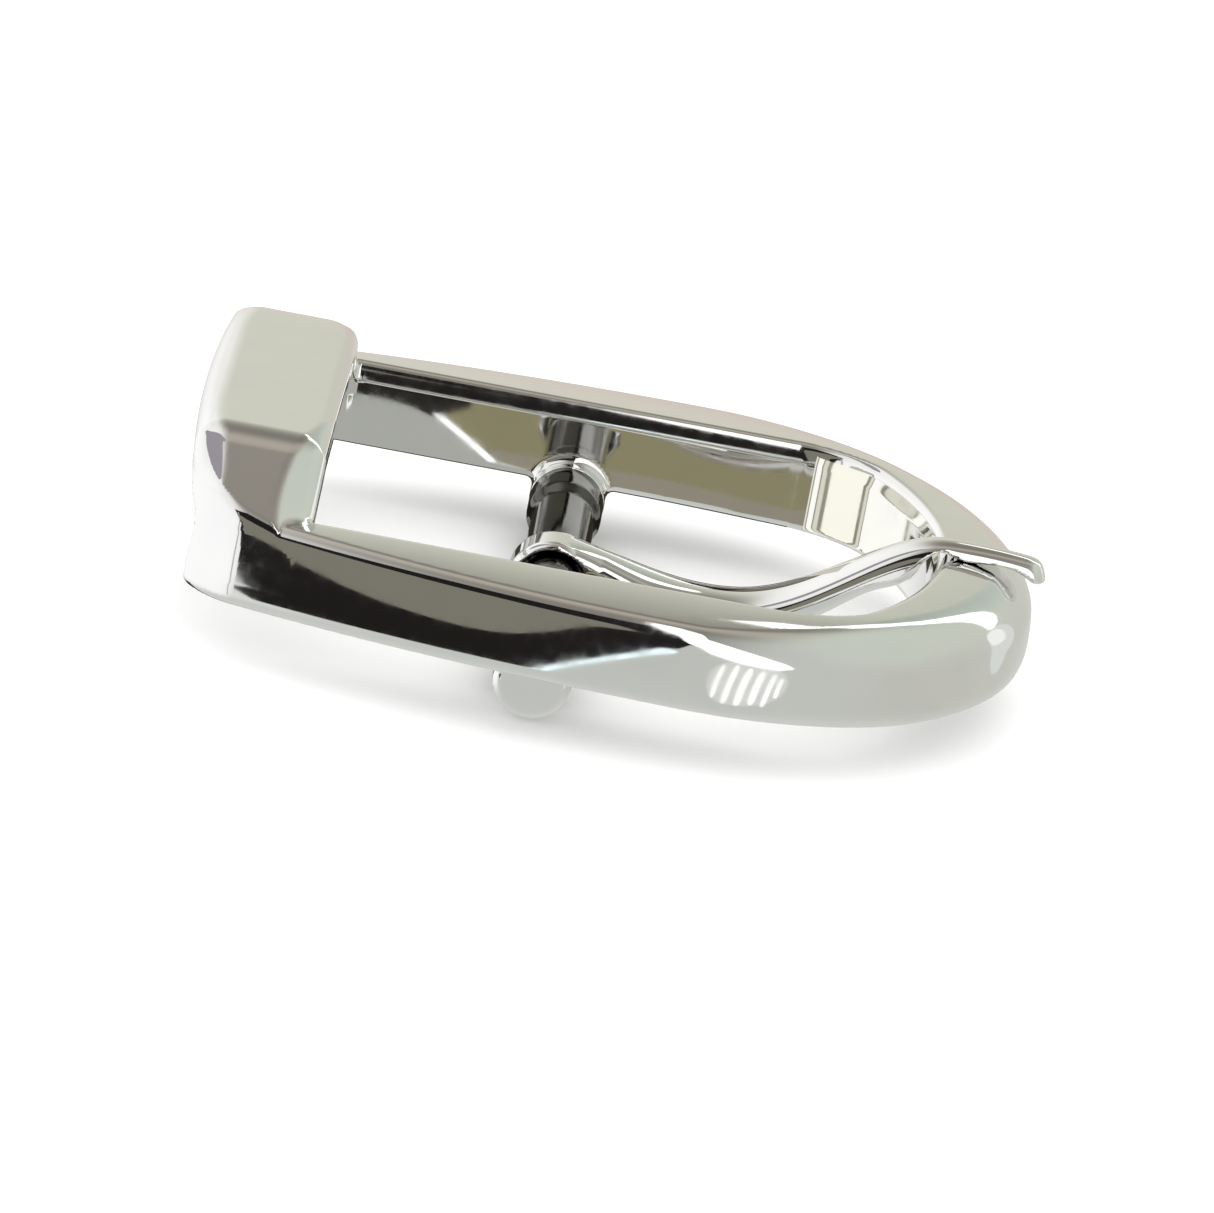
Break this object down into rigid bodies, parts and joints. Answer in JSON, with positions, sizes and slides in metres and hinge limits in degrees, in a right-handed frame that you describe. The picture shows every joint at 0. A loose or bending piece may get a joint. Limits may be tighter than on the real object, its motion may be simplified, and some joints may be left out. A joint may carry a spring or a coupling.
{
  "type": "strap buckle",
  "caption": "Polished centre-bar strap buckle with a rounded nose, a raised fixed keeper across the back and a pivoting prong curled round the cross bar.",
  "frame": {"origin": "the middle of the cross bar, on its axis", "axes": "+X from the cross bar to the nose, +Y along the cross bar, +Z towards the side that the prong closes on"},
  "size_m": [0.0357, 0.029, 0.0088],
  "materials": {
    "frame_plating": "mirror-polished nickel plating over a die casting",
    "bar_plating": "steel rod with a dark nickel plating, polished",
    "prong_plating": "mirror-polished nickel plating"
  },
  "bodies": {
    "frame": {"frame": "frame_plating", "cross_bar": "bar_plating"},
    "prong": {"prong": "prong_plating"}
  },
  "joints": [
    {"name": "prong_swing", "type": "hinge", "parent": "frame", "child": "prong", "pos_m": [0, 0, 0], "axis": [0, -1, 0], "range_deg": [0, 130]}
  ]
}
